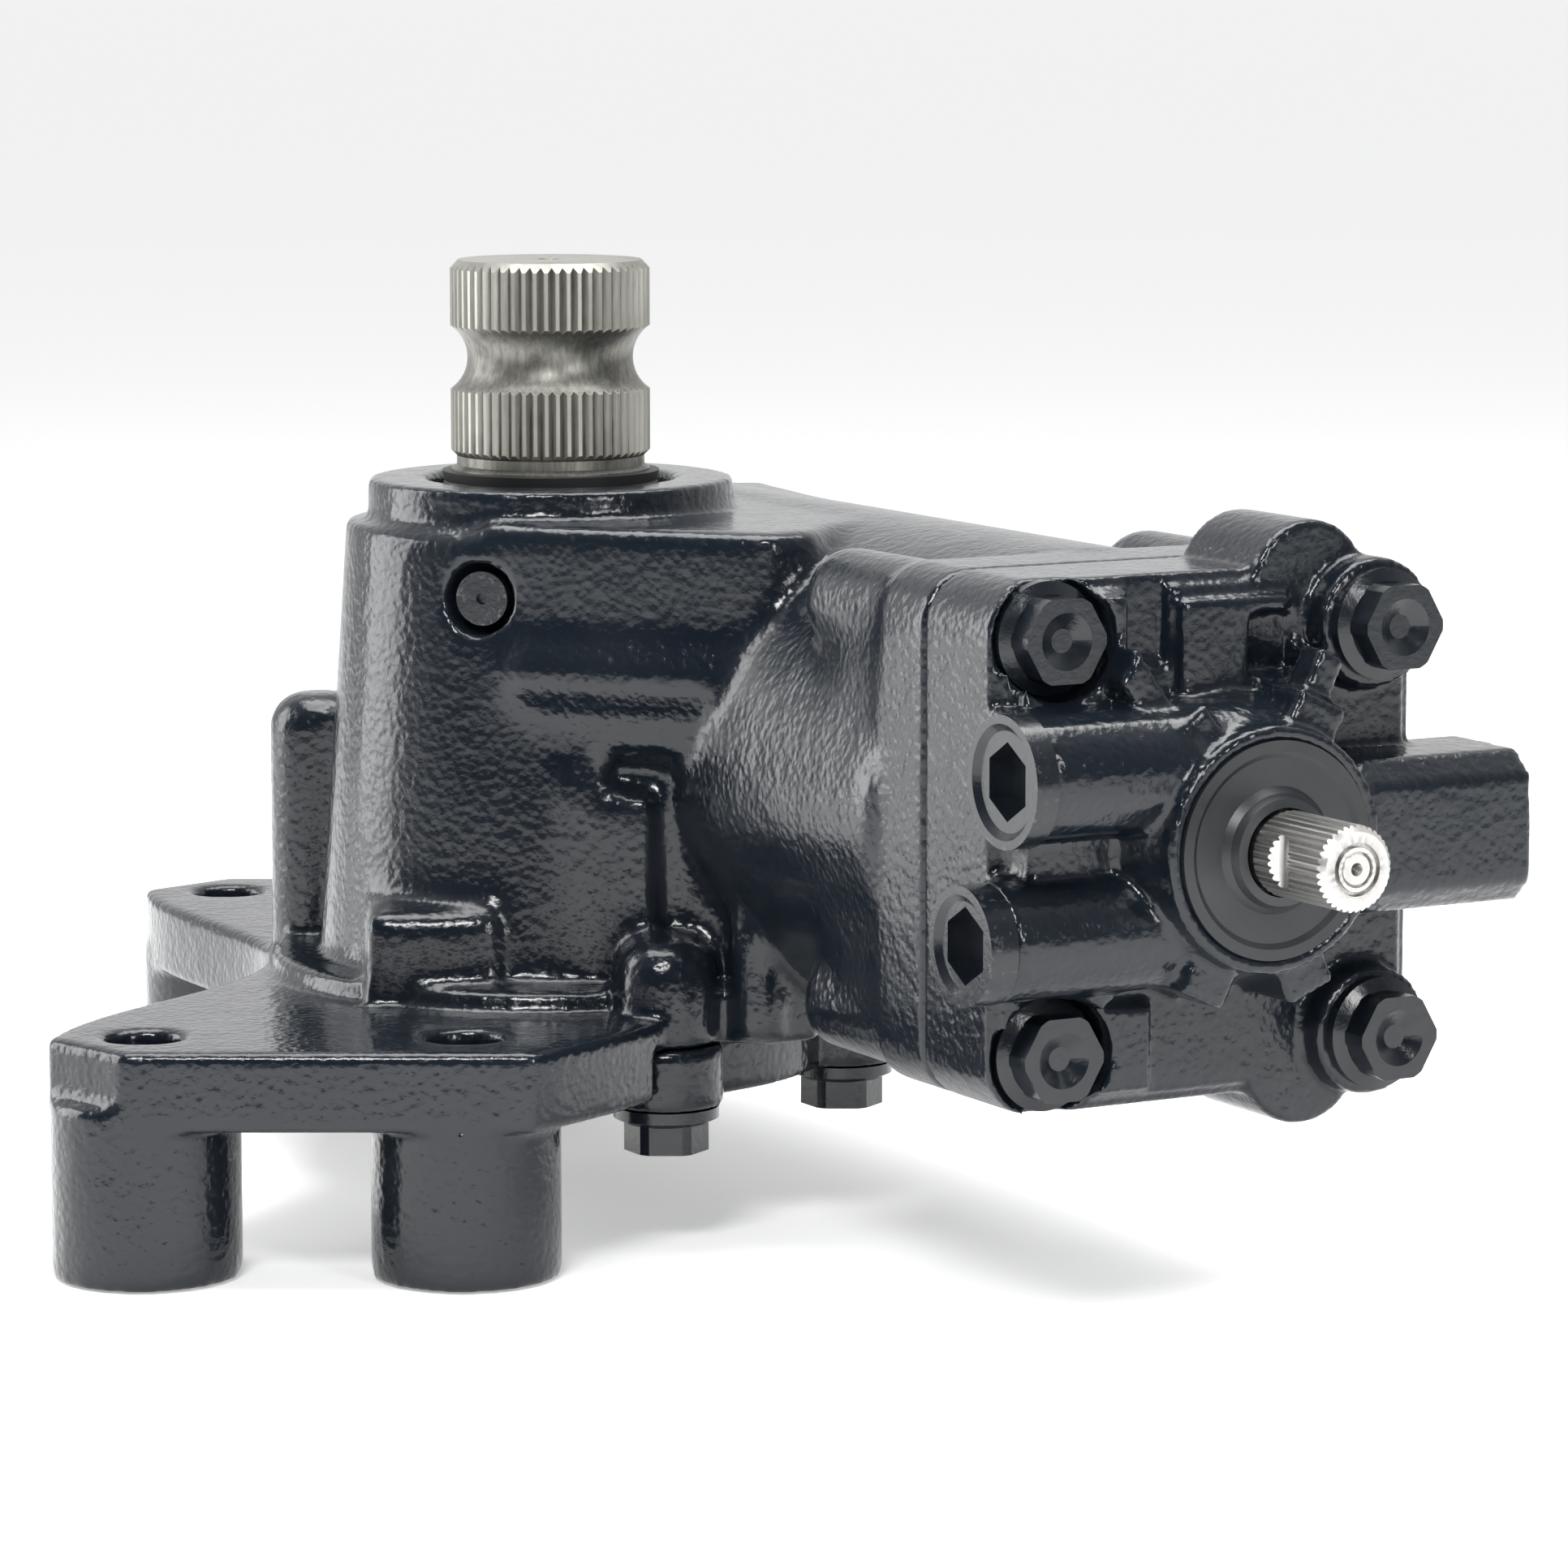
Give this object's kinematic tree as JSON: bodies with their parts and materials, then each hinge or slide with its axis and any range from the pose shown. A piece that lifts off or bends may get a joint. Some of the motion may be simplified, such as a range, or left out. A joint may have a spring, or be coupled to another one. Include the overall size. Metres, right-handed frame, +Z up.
{
  "type": "worm gearbox",
  "caption": "Integral power steering worm gearbox: a cast tower with a serrated upright output shaft beside a level worm cylinder, rotary valve head and four-boss foot.",
  "frame": {"origin": "centre of the four-bolt mounting pattern, on the mounting plane at the end faces of the bosses", "axes": "+Z up along the sector shaft, away from the mounting plane; +Y along the long side of the bolt pattern, away from the input end; +X across the pattern toward the worm cylinder"},
  "size_m": [0.3822, 0.4117, 0.2603],
  "materials": {
    "cast_black": "gloss black paint over a sand cast skin",
    "bolt_black": "gloss black paint on machined steel",
    "forged_steel": "dull oiled dark steel",
    "bright_steel": "bare machined steel",
    "ground_steel": "ground steel",
    "bearing_steel": "polished bearing steel",
    "spring_steel": "blued spring steel",
    "brass_seat": "turned brass",
    "ptfe": "filled plastic seal ring",
    "seal_rubber": "oil resistant rubber",
    "cover_rubber": "satin moulded rubber"
  },
  "bodies": {
    "housing": {"adjuster_lock_nut": "bolt_black", "adjusting_screw": "bolt_black", "bleed_plug": "bolt_black", "gallery_plug": "bolt_black", "gear_housing": "cast_black", "input_bearing_cup": "ground_steel", "input_bearing_rollers": "bearing_steel", "input_dust_cover": "cover_rubber", "input_oil_seal": "seal_rubber", "input_snap_ring": "spring_steel", "locating_dowels": "ground_steel", "lower_port_plug": "bolt_black", "port_seats": "brass_seat", "relief_valve_poppet": "ground_steel", "relief_valve_spring": "spring_steel", "sector_backup_washer": "ground_steel", "sector_dust_seal": "seal_rubber", "sector_lower_bearing_cup": "ground_steel", "sector_lower_bearing_rollers": "bearing_steel", "sector_oil_seal": "seal_rubber", "sector_snap_ring": "spring_steel", "sector_upper_bearing_cup": "ground_steel", "sector_upper_bearing_rollers": "bearing_steel", "side_cover": "cast_black", "side_cover_bolts": "bolt_black", "side_cover_seal": "seal_rubber", "upper_port_plug": "bolt_black", "valve_housing": "cast_black", "valve_housing_bolts": "bolt_black", "valve_housing_seal": "seal_rubber", "worm_bearing_nut": "ground_steel", "worm_outer_thrust_washers": "ground_steel", "worm_thrust_rollers": "bearing_steel"},
    "sector": {"sector_shaft": "forged_steel", "adjuster_retainer": "ground_steel"},
    "piston": {"ball_nut_piston": "ground_steel", "piston_ring": "ptfe", "recirculating_balls": "bearing_steel", "ball_return_tube": "spring_steel", "return_tube_clamp": "spring_steel", "clamp_screws": "spring_steel"},
    "worm": {"worm_shaft": "ground_steel", "worm_inner_thrust_washers": "ground_steel", "valve_sleeve": "ground_steel", "valve_sleeve_rings": "ptfe", "valve_drive_pin": "ground_steel", "torsion_bar_lower_pin": "ground_steel"},
    "input": {"input_shaft": "bright_steel", "torsion_bar": "bright_steel", "torsion_bar_upper_pin": "ground_steel"}
  },
  "joints": [
    {"name": "sector_turn", "type": "hinge", "parent": "housing", "child": "sector", "pos_m": [0.061, -0.011, 0.126], "axis": [0, 0, 1], "range_deg": [-42, 42]},
    {"name": "piston_slide", "type": "slide", "parent": "housing", "child": "piston", "axis": [0.4848, -0.8746, 0], "range_m": [-0.0258, 0.0258]},
    {"name": "worm_turn", "type": "hinge", "parent": "housing", "child": "worm", "pos_m": [0.11872, 0.021, 0.126], "axis": [0.4848, -0.8746, 0], "range_deg": [-772, 772]},
    {"name": "valve_twist", "type": "hinge", "parent": "worm", "child": "input", "pos_m": [0.21569, -0.15393, 0.126], "axis": [0.4848, -0.8746, 0], "range_deg": [-4, 4], "stiffness_Nm_per_rad": 60}
  ],
  "couplings": [
    {"joint": "piston_slide", "follows": "sector_turn", "m_per_rad": -0.035},
    {"joint": "worm_turn", "follows": "sector_turn", "ratio": 18.326}
  ]
}
